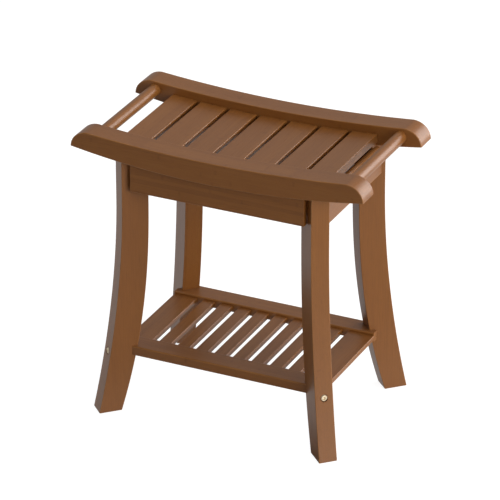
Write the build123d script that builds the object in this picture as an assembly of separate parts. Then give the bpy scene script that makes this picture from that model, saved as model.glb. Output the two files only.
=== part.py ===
from build123d import *
import math
import os

os.makedirs("parts", exist_ok=True)

# Axes: X runs along the bench, Y from front to rear, Z up. The origin is on the floor, at mid bench.

# Seat rails: two boards along the front and the rear, with a dipped top edge and round ends
rail_length = 500.0
rail_depth_over = 265.4
rail_thick = 39.7
rail_top_mid = 467.0
rail_dip = 10.5
rail_width_mid = 38.0
rail_tip_drop = 27.4
rail_scroll_length = 30.0
rail_ease = 1.6

# Handle rods between the rail ends
rod_radius = 10.0
rod_end_inset = 35.6
rod_drop = 15.4
rod_socket_depth = 14.0
rod_chamfer = 1.0
hand_gap = 25.5

# Seat slats
slat_count = 7
slat_pitch = 52.85
slat_gap = 5.5
slat_row_shift = -4.1
slat_thick = 13.0
slat_drop = 13.9
slat_ease = 3.5

# Seat cleats under the slat ends
cleat_width = 12.0
cleat_end_inset = 6.5

# Legs, set on the diagonals and swept outwards to the floor
leg_end_inset = 92.5
leg_face_inset = 29.7
leg_wide = 44.2
leg_thick = 30.2
leg_kick_height = 361.0
leg_kick_outer = 43.2
leg_kick_inner = 49.3
leg_power_outer = 1.87
leg_power_inner = 2.27
leg_curve_steps = 6
leg_ease = 1.2
foot_ease = 0.8

# Aprons between the legs
apron_drop = 40.6
apron_thick = 13.0
apron_setback = 5.7
apron_side_reach = 21.5
apron_side_height = 47.6
apron_ease = 1.0

# Corner blocks behind the legs
block_thick = 28.0
block_rise = 4.0

# Shelf
shelf_bottom = 96.9
shelf_rail_thick = 15.7
shelf_rail_width = 36.1
shelf_reach_x = 20.7
shelf_reach_y = 16.8
shelf_slat_count = 10
shelf_slat_pitch = 32.45
shelf_slat_gap = 11.2
shelf_slat_thick = 8.0
shelf_slat_drop = 4.6
shelf_slat_shift = -1.75
shelf_rail_ease = 2.0
shelf_slat_ease = 1.0
tongue_length = 7.0
tongue_thick = 5.0
tongue_shoulder = 4.0
notch_depth = 8.0

# Bolts, threaded inserts, washers and dowels
bolt_radius = 2.95
bolt_head_radius = 5.2
bolt_head_height = 3.3
bolt_crown_radius = 2.6
bolt_dome_radius = 5.4
bolt_rim = 0.6
bolt_chamfer = 0.8
bolt_socket_across = 4.0
bolt_socket_depth = 2.0
bolt_hole_radius = 3.2
bolt_length = 45.0
bolt_seat_depth = 2.9
bolt_tip_room = 6.0
counterbore_radius = 6.2
insert_radius = 4.5
insert_bore_radius = 3.0
insert_length = 14.0
shelf_bolt_rise = 6.5
frame_bolt_rises = (10.0, 28.0)
washer_radius = 7.0
washer_thick = 1.6
dowel_radius = 4.0
dowel_length = 38.0
dowel_in_leg = 19.0
dowel_out_x = 2.0
dowel_out_y = 9.0
dowel_chamfer = 0.8

# Wood screws
screw_tip = 3.0
screw_point_radius = 0.3
screw_rim = 0.4
slat_screw_radius = 1.75
slat_screw_head = 3.4
slat_screw_length = 16.0
slat_screw_grip = 9.0
cleat_screw_radius = 2.0
cleat_screw_head = 3.8
cleat_screw_length = 28.0
cleat_screw_recess = 1.0
block_screw_radius = 2.2
block_screw_head = 4.2
block_screw_length = 22.0
block_screw_grip = 9.0
rail_screw_radius = 2.5
rail_screw_head = 4.6
rail_screw_length = 50.0
rail_screw_recess = 6.0
rail_screw_in_x = 47.0
rail_screw_out_y = 1.0

# Clearances
touch = 0.1
slide = 0.1
slat_end_clearance = 0.25
seat_clearance = 0.05

# Rail and seat sizes that follow
rail_top_end = rail_top_mid + rail_dip
rail_bottom_mid = rail_top_mid - rail_width_mid
rail_tip = rail_top_end - rail_tip_drop
rail_half = rail_length / 2
rail_outer = rail_depth_over / 2
rail_inner = rail_outer - rail_thick
scroll_x = rail_half - rail_scroll_length
seat_radius = (scroll_x**2 + rail_dip**2) / (2 * rail_dip)
seat_center_z = rail_top_mid + seat_radius
bottom_sag = rail_tip - rail_bottom_mid
rail_bottom_radius = (rail_half**2 + bottom_sag**2) / (2 * bottom_sag)
rod_x = rail_half - rod_end_inset
rod_z = rail_top_end - rod_drop
slat_side = rod_x - rod_radius - hand_gap
slat_width = slat_pitch - slat_gap
slat_top_radius = seat_radius + slat_drop
slat_bottom_radius = slat_top_radius + slat_thick
slat_corner_radius = math.hypot(slat_bottom_radius, slat_width / 2)
cleat_top_radius = slat_corner_radius + seat_clearance
cleat_inner = rail_inner - cleat_width
cleat_half_length = slat_side - cleat_end_inset

# Frame sizes that follow
diagonal = math.sqrt(2)
leg_x = rail_half - leg_end_inset
leg_y = rail_outer - leg_face_inset
leg_sum = leg_x + leg_y
leg_offset = leg_x - leg_y
apron_bottom = rail_bottom_mid - apron_drop
apron_front = rail_outer - apron_setback
apron_inner = apron_front - apron_thick
apron_side = leg_x + apron_side_reach
apron_side_inner = apron_side - apron_thick
apron_side_top = apron_bottom + apron_side_height
apron_half = apron_inner + leg_offset - leg_thick / 2 * diagonal - touch
apron_side_half = apron_side_inner - leg_offset - leg_thick / 2 * diagonal - touch
block_leg_sum = leg_sum - leg_wide / 2 * diagonal
block_inner_sum = block_leg_sum - block_thick * diagonal
block_bottom = apron_bottom + block_rise
frame_bolt_heights = [block_bottom + rise for rise in frame_bolt_rises]
rail_screw_x = leg_x - rail_screw_in_x
rail_screw_y = leg_y + rail_screw_out_y
dowel_x = leg_x + dowel_out_x
dowel_y = leg_y + dowel_out_y

# Shelf sizes that follow
shelf_top = shelf_bottom + shelf_rail_thick
shelf_side = leg_x + shelf_reach_x
shelf_rail_outer = leg_y + shelf_reach_y
shelf_rail_inner = shelf_rail_outer - shelf_rail_width
shelf_bolt_z = shelf_bottom + shelf_bolt_rise


def leg_outer(z):
    """Distance of the outer leg face from the leg line, measured along the diagonal."""
    reach = max(0.0, 1 - z / leg_kick_height)
    return leg_wide / 2 + leg_kick_outer * reach**leg_power_outer


def leg_inner(z):
    """Distance of the inner leg face from the leg line, measured along the diagonal."""
    reach = max(0.0, 1 - z / leg_kick_height)
    return -leg_wide / 2 + leg_kick_inner * reach**leg_power_inner


shelf_notch_u = leg_inner(shelf_bottom + shelf_rail_thick / 2) + notch_depth
shelf_cut_sum = leg_sum + shelf_notch_u * diagonal


def bar(x0, x1, y0, y1, z0, z1):
    """A box given by its limits."""
    center = ((x0 + x1) / 2, (y0 + y1) / 2, (z0 + z1) / 2)
    return Pos(*center) * Box(x1 - x0, y1 - y0, z1 - z0)


def rod_along(axis_plane, radius, length):
    """A cylinder that starts on a plane and runs along its normal."""
    return extrude(axis_plane * Circle(radius), length)


def save(shape, name):
    """Write one node."""
    solids = shape.solids() if not isinstance(shape, list) else [s for p in shape for s in p.solids()]
    body = solids[0] if len(solids) == 1 else Compound(children=solids)
    body.label = name
    export_step(body, f"parts/{name}.step")


def corners(shape):
    """The four mirror copies of a piece of the rear right corner, by place."""
    front = mirror(shape, about=Plane.XZ)
    return {
        "front_left": mirror(front, about=Plane.YZ),
        "front_right": front,
        "rear_left": mirror(shape, about=Plane.YZ),
        "rear_right": shape,
    }


def screw(plane, radius, head_radius, length):
    """A countersunk wood screw: head on the plane, point along its normal."""
    head = head_radius - radius
    outline = Polyline(
        (0, 0),
        (head_radius, 0),
        (head_radius, screw_rim),
        (radius, screw_rim + head),
        (radius, length - screw_tip),
        (screw_point_radius, length),
        (0, length),
        close=True,
    )
    body = revolve(make_face(Plane.XZ * outline), Axis.Z)
    return plane * body


def screw_hole(plane, radius, head_radius, length, recess):
    """Room for a countersunk screw, open for a length behind its head."""
    grow = radius + slide
    wide = head_radius + slide
    outline = Polyline(
        (0, -recess),
        (wide, -recess),
        (wide, screw_rim),
        (grow, screw_rim + wide - grow),
        (grow, length + slide),
        (0, length + slide),
        close=True,
    )
    return plane * revolve(make_face(Plane.XZ * outline), Axis.Z)


def bolt(plane, length):
    """A button head bolt with a hexagon socket: head behind the plane, shank along its normal."""
    crown = (bolt_crown_radius, -bolt_head_height)
    rim = (bolt_head_radius, -bolt_rim)
    outline = (
        Polyline((0, -bolt_head_height), crown)
        + RadiusArc(crown, rim, bolt_dome_radius)
        + Polyline(rim, (bolt_head_radius, 0), (0, 0), (0, -bolt_head_height))
    )
    head = revolve(make_face(Plane.XZ * outline), Axis.Z)
    shank = Cylinder(bolt_radius, length)
    shank = chamfer(shank.edges().group_by(Axis.Z)[-1], bolt_chamfer)
    socket = extrude(
        Pos(0, 0, -bolt_head_height) * RegularPolygon(bolt_socket_across / 2, 6, major_radius=False),
        bolt_socket_depth,
    )
    return plane * (head - socket + Pos(0, 0, length / 2) * shank)


def insert(plane):
    """A threaded insert: flush with the plane, running along its normal."""
    body = Cylinder(insert_radius, insert_length) - Cylinder(insert_bore_radius, insert_length)
    return plane * Pos(0, 0, insert_length / 2) * body


# Rail outline: the seat arc, a quarter ellipse at each end and the bowed lower edge
scroll_height = rail_top_end - rail_tip
rail_line = (
    ThreePointArc((-scroll_x, rail_top_end), (0, rail_top_mid), (scroll_x, rail_top_end))
    + EllipticalCenterArc((scroll_x, rail_tip), rail_scroll_length, scroll_height, 0, arc_size=90)
    + ThreePointArc((rail_half, rail_tip), (0, rail_bottom_mid), (-rail_half, rail_tip))
    + EllipticalCenterArc((-scroll_x, rail_tip), rail_scroll_length, scroll_height, 90, arc_size=90)
)
rail_board = extrude(Plane.XZ.offset(rail_inner) * make_face(rail_line), rail_thick)
rail_board = fillet(rail_board.edges().filter_by(Axis.Y, reverse=True), rail_ease)

under_line = (
    ThreePointArc((-rail_half, rail_tip), (0, rail_bottom_mid), (rail_half, rail_tip))
    + Polyline((rail_half, rail_tip), (rail_half, 0), (-rail_half, 0), (-rail_half, rail_tip))
)
under_rail = extrude(Plane.XZ * make_face(under_line), rail_outer * 2, both=True)

# Angles of the slats round the seat arc; the end slats are narrower and end at the hand gaps
slat_places = [slat_row_shift + (i - (slat_count - 1) / 2) * slat_pitch for i in range(slat_count)]
slat_angles = [place / slat_top_radius for place in slat_places]
end_slat_width = slat_side - (slat_count - 2) * slat_pitch / 2 - slat_gap / 2
end_slat_shift = (slat_width - end_slat_width) / 2


def around_seat(shape, angle):
    """Turn a piece made at mid seat along the seat arc."""
    center = Location((0, 0, seat_center_z))
    return center * Rot(0, -math.degrees(angle), 0) * center.inverse() * shape


def slat_shift(i):
    """Sideways shift of the slat middle, for the two narrower end slats."""
    if i == 0:
        return end_slat_shift
    return -end_slat_shift if i == slat_count - 1 else 0.0


slat_screw_z = seat_center_z - slat_bottom_radius + slat_screw_grip - slat_screw_length
slat_screw_y = (rail_inner + cleat_inner) / 2
slat_screws = []
slat_screw_holes = []
for i, angle in enumerate(slat_angles):
    for side in (-1, 1):
        seat = Plane((slat_shift(i), side * slat_screw_y, slat_screw_z))
        one = screw(seat, slat_screw_radius, slat_screw_head, slat_screw_length)
        slat_screws.append(around_seat(one, angle))
        hole = screw_hole(seat, slat_screw_radius, slat_screw_head, slat_screw_length, slat_thick)
        slat_screw_holes.append(around_seat(hole, angle))
save(slat_screws, "seat_slat_screws")

# Seat slats
slat_half_length = rail_inner - slat_end_clearance
slat_top_z = seat_center_z - slat_top_radius
for i, angle in enumerate(slat_angles):
    end = i in (0, slat_count - 1)
    half = (end_slat_width if end else slat_width) / 2
    middle = slat_shift(i)
    slat = bar(
        middle - half,
        middle + half,
        -slat_half_length,
        slat_half_length,
        slat_top_z - slat_thick,
        slat_top_z,
    )
    long_edges = slat.edges().filter_by(Axis.Y)
    slat = fillet(long_edges.group_by(Axis.Z)[-1], slat_ease)
    slat = around_seat(slat, angle)
    for hole in slat_screw_holes[2 * i : 2 * i + 2]:
        slat = slat - hole
    save(slat, f"seat_slat_{i + 1}")

# Cleats
cleat_top_mid = seat_center_z - cleat_top_radius


def cleat_top(x):
    """Height of the cleat top."""
    return seat_center_z - math.sqrt(cleat_top_radius**2 - x**2)


def rail_bottom(x):
    """Height of the lower edge of the rail."""
    return rail_bottom_mid + rail_bottom_radius - math.sqrt(rail_bottom_radius**2 - x**2)


top_left = (-cleat_half_length, cleat_top(cleat_half_length))
top_right = (cleat_half_length, cleat_top(cleat_half_length))
bottom_left = (-cleat_half_length, rail_bottom(cleat_half_length))
bottom_right = (cleat_half_length, rail_bottom(cleat_half_length))
cleat_line = (
    ThreePointArc(top_left, (0, cleat_top_mid), top_right)
    + Line(top_right, bottom_right)
    + ThreePointArc(bottom_right, (0, rail_bottom_mid), bottom_left)
    + Line(bottom_left, top_left)
)
cleat = extrude(Plane.XZ.offset(cleat_inner) * make_face(cleat_line), cleat_width)

cleat_screws = []
cleat_screw_holes = []
for gap in range(slat_count - 1):
    x = slat_row_shift + (gap - (slat_count - 2) / 2) * slat_pitch
    seat = Plane((x, -cleat_inner, (cleat_top(x) + rail_bottom(x)) / 2), z_dir=(0, -1, 0))
    cleat_screws.append(screw(seat, cleat_screw_radius, cleat_screw_head, cleat_screw_length))
    cleat_screw_holes.append(
        screw_hole(seat, cleat_screw_radius, cleat_screw_head, cleat_screw_length, cleat_screw_recess)
    )
for hole in cleat_screw_holes:
    cleat = cleat - hole
for hole in slat_screw_holes[0::2]:
    cleat = cleat - hole
save(cleat, "seat_cleat_front")
save(mirror(cleat, about=Plane.XZ), "seat_cleat_rear")
save(cleat_screws + [mirror(s, about=Plane.XZ) for s in cleat_screws], "seat_cleat_screws")

# Rails with sockets for the rods, dowels and screws
rail_front = rail_board
for side in (-1, 1):
    socket = Plane((side * rod_x, -rail_inner, rod_z), z_dir=(0, -1, 0))
    rail_front = rail_front - rod_along(socket, rod_radius + slide, rod_socket_depth)
    dowel_foot = Plane((side * dowel_x, -dowel_y, rail_bottom(dowel_x) - dowel_in_leg))
    rail_front = rail_front - rod_along(dowel_foot, dowel_radius + slide, dowel_length + slide)
    screw_foot = Plane((side * rail_screw_x, -rail_screw_y, block_bottom + rail_screw_recess))
    room = screw_hole(screw_foot, rail_screw_radius, rail_screw_head, rail_screw_length, rail_screw_recess)
    rail_front = rail_front - room
for hole in cleat_screw_holes:
    rail_front = rail_front - hole
save(rail_front, "front_rail")
save(mirror(rail_front, about=Plane.XZ), "rear_rail")

# Handle rods
rod_half = rail_inner + rod_socket_depth - 2 * slide
for name, side in (("left", -1), ("right", 1)):
    start = Plane((side * rod_x, rod_half, rod_z), z_dir=(0, -1, 0))
    rod = rod_along(start, rod_radius, 2 * rod_half)
    rod = chamfer(rod.edges().filter_by(GeomType.CIRCLE), rod_chamfer)
    save(rod, f"handle_rod_{name}")

# Leg of the rear right corner, drawn in the upright plane of its diagonal
leg_plane = Plane((leg_x, leg_y, 0), x_dir=(1, 1, 0), z_dir=(1, -1, 0))
leg_top = rail_tip
heights = [leg_kick_height * k / leg_curve_steps for k in range(leg_curve_steps + 1)]
foot_slope_outer = leg_kick_outer * leg_power_outer / leg_kick_height
foot_slope_inner = leg_kick_inner * leg_power_inner / leg_kick_height
outer_curve = Spline(
    [(leg_outer(z), z) for z in heights],
    tangents=[(-foot_slope_outer, 1), (0, 1)],
)
inner_curve = Spline(
    [(leg_inner(z), z) for z in reversed(heights)],
    tangents=[(0, -1), (foot_slope_inner, -1)],
)
leg_line = (
    outer_curve
    + Polyline(
        (leg_outer(leg_kick_height), leg_kick_height),
        (leg_wide / 2, leg_top),
        (-leg_wide / 2, leg_top),
        (leg_inner(leg_kick_height), leg_kick_height),
    )
    + inner_curve
    + Line((leg_inner(0), 0), (leg_outer(0), 0))
)
leg = extrude(leg_plane * make_face(leg_line), leg_thick / 2, both=True)
upright_edges = leg.edges().filter_by(lambda edge: abs((edge @ 1 - edge @ 0).Z) > leg_ease)
leg = fillet(upright_edges, leg_ease)
leg = chamfer(leg.faces().sort_by(Axis.Z)[0].edges(), foot_ease)
leg = leg & under_rail

# Notch in the leg for the shelf corner
notch_reach = leg_wide
notch_body = extrude(
    leg_plane
    * Pos(shelf_notch_u + touch - notch_reach / 2, (shelf_bottom + shelf_top) / 2)
    * Rectangle(notch_reach, shelf_rail_thick + 2 * touch),
    leg_thick,
    both=True,
)
leg = leg - notch_body


def along_diagonal(u, z, inwards):
    """A plane square to the diagonal at a distance from the leg line, facing inwards or outwards."""
    x = leg_x + u / diagonal
    y = leg_y + u / diagonal
    way = -1 if inwards else 1
    return Plane((x, y, z), z_dir=(way, way, 0))


# Shelf bolt through the leg into the shelf corner
shelf_bolt_u = leg_outer(shelf_bolt_z) - bolt_seat_depth
shelf_bolt_seat = along_diagonal(shelf_bolt_u, shelf_bolt_z, True)
leg = leg - rod_along(shelf_bolt_seat, bolt_hole_radius, bolt_length)
counterbore_seat = along_diagonal(shelf_bolt_u, shelf_bolt_z, False)
leg = leg - rod_along(counterbore_seat, counterbore_radius, leg_wide)
shelf_insert_seat = along_diagonal(shelf_notch_u, shelf_bolt_z, True)
save(list(corners(bolt(shelf_bolt_seat, bolt_length)).values()), "shelf_bolts")
save(list(corners(insert(shelf_insert_seat)).values()), "shelf_inserts")

# Corner bolts through the block into the leg
block_seat_u = -leg_wide / 2 - block_thick
frame_bolts = []
frame_inserts = []
frame_washers = []
block_holes = []
for z in frame_bolt_heights:
    washer_seat = along_diagonal(block_seat_u - washer_thick, z, False)
    leg_face = along_diagonal(-leg_wide / 2, z, False)
    block_holes.append(rod_along(washer_seat, bolt_hole_radius, bolt_length))
    leg = leg - rod_along(leg_face, insert_radius + slide, insert_length)
    leg = leg - rod_along(leg_face, bolt_hole_radius, insert_length + bolt_tip_room)
    frame_bolts += list(corners(bolt(washer_seat, bolt_length)).values())
    frame_inserts += list(corners(insert(leg_face)).values())
    washer = rod_along(washer_seat, washer_radius, washer_thick)
    washer = washer - rod_along(washer_seat, bolt_hole_radius, washer_thick)
    frame_washers += list(corners(washer).values())
save(frame_bolts, "corner_bolts")
save(frame_inserts, "leg_inserts")
save(frame_washers, "corner_washers")

# Dowels between leg tops and rails
dowel_base = Plane((dowel_x, dowel_y, rail_bottom(dowel_x) - dowel_in_leg))
leg = leg - rod_along(dowel_base.offset(-slide), dowel_radius + slide, dowel_length)
dowel = rod_along(dowel_base, dowel_radius, dowel_length)
dowel = chamfer(dowel.edges().filter_by(GeomType.CIRCLE), dowel_chamfer)
save(list(corners(dowel).values()), "leg_dowels")

for place, body in corners(leg).items():
    save(body, f"leg_{place}")

# Corner blocks
block_outline = Polyline(
    (block_leg_sum - apron_inner, apron_inner),
    (apron_side_inner, block_leg_sum - apron_side_inner),
    (apron_side_inner, block_inner_sum - apron_side_inner),
    (block_inner_sum - apron_inner, apron_inner),
    close=True,
)
block = extrude(Pos(0, 0, block_bottom) * make_face(block_outline), apron_side_top - block_bottom)
block = block & under_rail
for hole in block_holes:
    block = block - hole

rail_screw_seat = Plane((rail_screw_x, rail_screw_y, block_bottom + rail_screw_recess))
rail_screw = screw(rail_screw_seat, rail_screw_radius, rail_screw_head, rail_screw_length)
block = block - screw_hole(
    rail_screw_seat, rail_screw_radius, rail_screw_head, rail_screw_length, rail_screw_recess
)
save(list(corners(rail_screw).values()), "rail_screws")

# Screws from the blocks into the aprons
front_contact = (block_leg_sum + block_inner_sum) / 2 - apron_inner
side_contact = (block_leg_sum + block_inner_sum) / 2 - apron_side_inner
apron_screws = []
front_apron_holes = []
side_apron_holes = []
for z in frame_bolt_heights:
    front_seat = Plane(
        (front_contact, apron_inner + block_screw_grip - block_screw_length, z), z_dir=(0, 1, 0)
    )
    side_seat = Plane(
        (apron_side_inner + block_screw_grip - block_screw_length, side_contact, z), z_dir=(1, 0, 0)
    )
    for seat, holes in ((front_seat, front_apron_holes), (side_seat, side_apron_holes)):
        room = screw_hole(seat, block_screw_radius, block_screw_head, block_screw_length, block_thick)
        holes.append(room)
        block = block - room
        one = screw(seat, block_screw_radius, block_screw_head, block_screw_length)
        apron_screws += list(corners(one).values())
save(apron_screws, "apron_screws")
for place, body in corners(block).items():
    save(body, f"corner_block_{place}")

# Aprons
apron = bar(-apron_half, apron_half, apron_inner, apron_front, apron_bottom, rail_tip)
apron = fillet(apron.edges().filter_by(Axis.X).group_by(Axis.Z)[0], apron_ease)
apron = apron & under_rail
for hole in front_apron_holes:
    apron = apron - hole - mirror(hole, about=Plane.YZ)
save(apron, "rear_apron")
save(mirror(apron, about=Plane.XZ), "front_apron")

side_apron = bar(
    apron_side_inner, apron_side, -apron_side_half, apron_side_half, apron_bottom, apron_side_top
)
side_apron = fillet(side_apron.edges().filter_by(Axis.Y), apron_ease)
for hole in side_apron_holes:
    side_apron = side_apron - hole - mirror(hole, about=Plane.XZ)
save(side_apron, "right_apron")
save(mirror(side_apron, about=Plane.YZ), "left_apron")

# Shelf slats, each with a tongue at both ends that sits in a blind mortise of the shelf rail
shelf_slat_top = shelf_top - shelf_slat_drop
shelf_slat_bottom = shelf_slat_top - shelf_slat_thick
shelf_slat_half = shelf_rail_inner - slide
tongue_end = shelf_rail_inner + tongue_length
tongue_bottom = shelf_slat_bottom + (shelf_slat_thick - tongue_thick) / 2
tongue_top = tongue_bottom + tongue_thick
mortises = []
for i in range(shelf_slat_count):
    left = shelf_slat_shift + (i - shelf_slat_count / 2) * shelf_slat_pitch + shelf_slat_gap / 2
    right = left + shelf_slat_pitch - shelf_slat_gap
    left = -shelf_side if i == 0 else left
    right = shelf_side if i == shelf_slat_count - 1 else right
    slat = bar(left, right, -shelf_slat_half, shelf_slat_half, shelf_slat_bottom, shelf_slat_top)
    slat = fillet(slat.edges().filter_by(Axis.Y).group_by(Axis.Z)[-1], shelf_slat_ease)
    x0 = left + tongue_shoulder
    x1 = right - tongue_shoulder
    slat = slat + bar(x0, x1, -tongue_end, tongue_end, tongue_bottom, tongue_top)
    save(slat, f"shelf_slat_{i + 1}")
    mortise = bar(
        x0 - slide,
        x1 + slide,
        shelf_slat_half,
        tongue_end + slide,
        tongue_bottom - slide,
        tongue_top + slide,
    )
    mortises.append(mortise)

# Shelf rails with corners cut square to the diagonals
shelf_cut = shelf_side + shelf_rail_outer - shelf_cut_sum
shelf_outline = Polyline(
    (-shelf_side, shelf_rail_inner),
    (shelf_side, shelf_rail_inner),
    (shelf_side, shelf_rail_outer - shelf_cut),
    (shelf_side - shelf_cut, shelf_rail_outer),
    (-shelf_side + shelf_cut, shelf_rail_outer),
    (-shelf_side, shelf_rail_outer - shelf_cut),
    close=True,
)
shelf_rail = extrude(Pos(0, 0, shelf_bottom) * make_face(shelf_outline), shelf_rail_thick)
shelf_rail = fillet(shelf_rail.edges().filter_by(Axis.X).group_by(Axis.Z)[-1], shelf_rail_ease)
for mortise in mortises:
    shelf_rail = shelf_rail - mortise
insert_bore = rod_along(shelf_insert_seat, insert_radius + slide, insert_length)
insert_bore = insert_bore + rod_along(shelf_insert_seat, bolt_hole_radius, insert_length + bolt_tip_room)
shelf_rail = shelf_rail - insert_bore - mirror(insert_bore, about=Plane.YZ)
save(shelf_rail, "shelf_rear_rail")
save(mirror(shelf_rail, about=Plane.XZ), "shelf_front_rail")
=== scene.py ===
"""A slatted bamboo shower bench, built piece by piece round its fixed frame.

Sizes are millimetres in the frame's own axes: X along the bench, Y from front to rear, Z up.
Meshes are written in metres.
"""

import logging
import math
from collections.abc import Callable, Sequence
from dataclasses import dataclass, field
from enum import Enum

import bmesh
import bpy
from mathutils import Euler, Matrix, Vector


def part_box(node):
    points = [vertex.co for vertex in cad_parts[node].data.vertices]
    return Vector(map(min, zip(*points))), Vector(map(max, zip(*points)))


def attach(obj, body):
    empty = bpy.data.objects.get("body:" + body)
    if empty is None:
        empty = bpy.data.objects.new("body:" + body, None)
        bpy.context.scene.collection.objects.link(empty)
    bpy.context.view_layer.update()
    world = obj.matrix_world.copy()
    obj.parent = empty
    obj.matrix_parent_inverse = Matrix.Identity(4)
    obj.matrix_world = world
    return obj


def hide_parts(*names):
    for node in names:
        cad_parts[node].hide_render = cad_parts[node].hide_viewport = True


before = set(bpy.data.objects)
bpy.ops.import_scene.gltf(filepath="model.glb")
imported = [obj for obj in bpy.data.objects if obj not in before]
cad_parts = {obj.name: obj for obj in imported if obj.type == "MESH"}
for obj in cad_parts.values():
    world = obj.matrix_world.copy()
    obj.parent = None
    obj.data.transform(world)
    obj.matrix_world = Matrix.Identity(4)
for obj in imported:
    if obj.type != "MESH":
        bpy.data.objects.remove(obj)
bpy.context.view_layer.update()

MM = 0.001
BODY = "root"
DIAGONAL = math.sqrt(0.5)
LOG = logging.getLogger("bench")

Point = tuple[float, float, float]
Socket = bpy.types.NodeSocket


class Corner(Enum):
    """The four corners of the bench, as signs along X and Y."""

    FRONT_LEFT = (-1, -1)
    FRONT_RIGHT = (1, -1)
    REAR_LEFT = (-1, 1)
    REAR_RIGHT = (1, 1)

    @property
    def label(self) -> str:
        """The corner's name as the pieces use it."""
        return self.name.lower()


def linear(code: str) -> tuple[float, float, float, float]:
    """Turn an sRGB hex colour into linear light.

    Args:
        code: the colour as #RRGGBB.

    Returns:
        Red, green, blue and a full alpha.
    """
    parts = [int(code[i : i + 2], 16) / 255 for i in (1, 3, 5)]
    red, green, blue = [p / 12.92 if p <= 0.04045 else ((p + 0.055) / 1.055) ** 2.4 for p in parts]
    return red, green, blue, 1.0


def add_node(
    tree: bpy.types.NodeTree,
    kind: str,
    inputs: dict[int | str, object] | None = None,
    output: int | str = 0,
    **settings: object,
) -> Socket:
    """Add a node with its settings and links.

    Args:
        tree: the tree that gets the node.
        kind: the node's type.
        inputs: for an input's name or place, its value or the socket that feeds it.
        output: the name or place of the output that is wanted.
        settings: the node's options.

    Returns:
        That output socket.
    """
    node = tree.nodes.new(kind)
    for option, value in settings.items():
        setattr(node, option, value)
    for key, value in (inputs or {}).items():
        if isinstance(value, Socket):
            tree.links.new(value, node.inputs[key])
        else:
            node.inputs[key].default_value = value
    return node.outputs[output] if len(node.outputs) else None


# Meshes


def new_object(name: str, points: Sequence[Point], faces: Sequence[Sequence[int]]) -> bpy.types.Object:
    """Make a closed mesh object with its faces pointing outwards.

    Args:
        name: the object's name.
        points: vertices in millimetres.
        faces: vertex numbers of each face.

    Returns:
        The object, at the origin.
    """
    mesh = bpy.data.meshes.new(name)
    mesh.from_pydata([[c * MM for c in p] for p in points], [], faces)
    body = bmesh.new()
    body.from_mesh(mesh)
    bmesh.ops.recalc_face_normals(body, faces=body.faces)
    body.to_mesh(mesh)
    body.free()
    made = bpy.data.objects.new(name, mesh)
    bpy.context.scene.collection.objects.link(made)
    return made


def loft(name: str, rings: Sequence[Sequence[Point]]) -> bpy.types.Object:
    """Join closed rings of equal length by quads, and close both ends.

    Args:
        name: the object's name.
        rings: the rings in order, each a list of points in millimetres.

    Returns:
        The lofted object.
    """
    count = len(rings[0])
    points = [p for ring in rings for p in ring]
    faces = [list(range(count)), list(range(len(points) - count, len(points)))]
    for row in range(len(rings) - 1):
        for k in range(count):
            after = (k + 1) % count
            low, high = row * count, (row + 1) * count
            faces.append([low + k, low + after, high + after, high + k])
    return new_object(name, points, faces)


def settle(piece: bpy.types.Object) -> None:
    """Turn the evaluated shape into the piece's own plain mesh."""
    graph = bpy.context.evaluated_depsgraph_get()
    shape = piece.evaluated_get(graph)
    mesh = bpy.data.meshes.new_from_object(shape, preserve_all_data_layers=True, depsgraph=graph)
    piece.modifiers.clear()
    piece.data = mesh


def ease(
    piece: bpy.types.Object,
    width: float,
    share: Callable[[Vector, Vector], float],
    segments: int = 4,
) -> None:
    """Round the edges of a piece, and mark the rounded faces, which the finish paints paler as rubbed edges and as
    a painted highlight.

    Args:
        piece: the piece, with sharp edges.
        width: the widest rounding, in millimetres.
        share: for an edge's middle and its direction, in millimetres, the share of that width.
        segments: steps across a rounding.
    """
    mesh = piece.data
    body = bmesh.new()
    body.from_mesh(mesh)
    body.normal_update()
    weights = []
    for edge in body.edges:
        a, b = (v.co / MM for v in edge.verts)
        sharp = len(edge.link_faces) == 2 and edge.calc_face_angle() > math.radians(25)
        weights.append(share((a + b) / 2, (b - a).normalized()) if sharp else 0.0)
    body.free()
    layer = mesh.attributes.new("bevel_weight_edge", "FLOAT", "EDGE")
    layer.data.foreach_set("value", weights)
    mesh.materials.append(None)
    mesh.materials.append(None)
    rounding = piece.modifiers.new("rounding", "BEVEL")
    rounding.limit_method = "WEIGHT"
    rounding.width = width * MM
    rounding.segments = segments
    rounding.material = 1
    rounding.use_clamp_overlap = False
    settle(piece)
    mesh = piece.data
    # Rounded faces, painted paler by the finish: rubbed edges and a painted highlight
    worn = [float(face.material_index == 1) for face in mesh.polygons]
    mesh.attributes.new("edge", "FLOAT", "FACE").data.foreach_set("value", worn)
    mesh.polygons.foreach_set("material_index", [0] * len(worn))
    mesh.materials.clear()


def cut(piece: bpy.types.Object, cutter: bpy.types.Object) -> None:
    """Take a cutter's volume out of a piece, and remove the cutter."""
    step = piece.modifiers.new("cut", "BOOLEAN")
    step.operation = "DIFFERENCE"
    step.solver = "MANIFOLD"
    step.object = cutter
    settle(piece)
    bpy.data.objects.remove(cutter)


def smooth(piece: bpy.types.Object, sharp_degrees: float = 40.0) -> None:
    """Shade a piece smoothly over its roundings, with its flat faces kept flat."""
    piece.data.polygons.foreach_set("use_smooth", [True] * len(piece.data.polygons))
    piece.data.set_sharp_from_angle(angle=math.radians(sharp_degrees))
    step = piece.modifiers.new("normals", "WEIGHTED_NORMAL")
    step.mode = "FACE_AREA"
    step.weight = 100
    step.keep_sharp = True
    settle(piece)


def seat_piece(
    piece: bpy.types.Object,
    material: bpy.types.Material,
    nodes: Sequence[str],
) -> None:
    """Dress a finished piece and set it in place of its nodes.

    Args:
        piece: the finished piece.
        material: its finish.
        nodes: the nodes that it stands for.
    """
    piece.data.materials.clear()
    piece.data.materials.append(material)
    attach(piece, BODY)
    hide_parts(*nodes)
    LOG.info("%s: %d faces", piece.name, len(piece.data.polygons))


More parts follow.
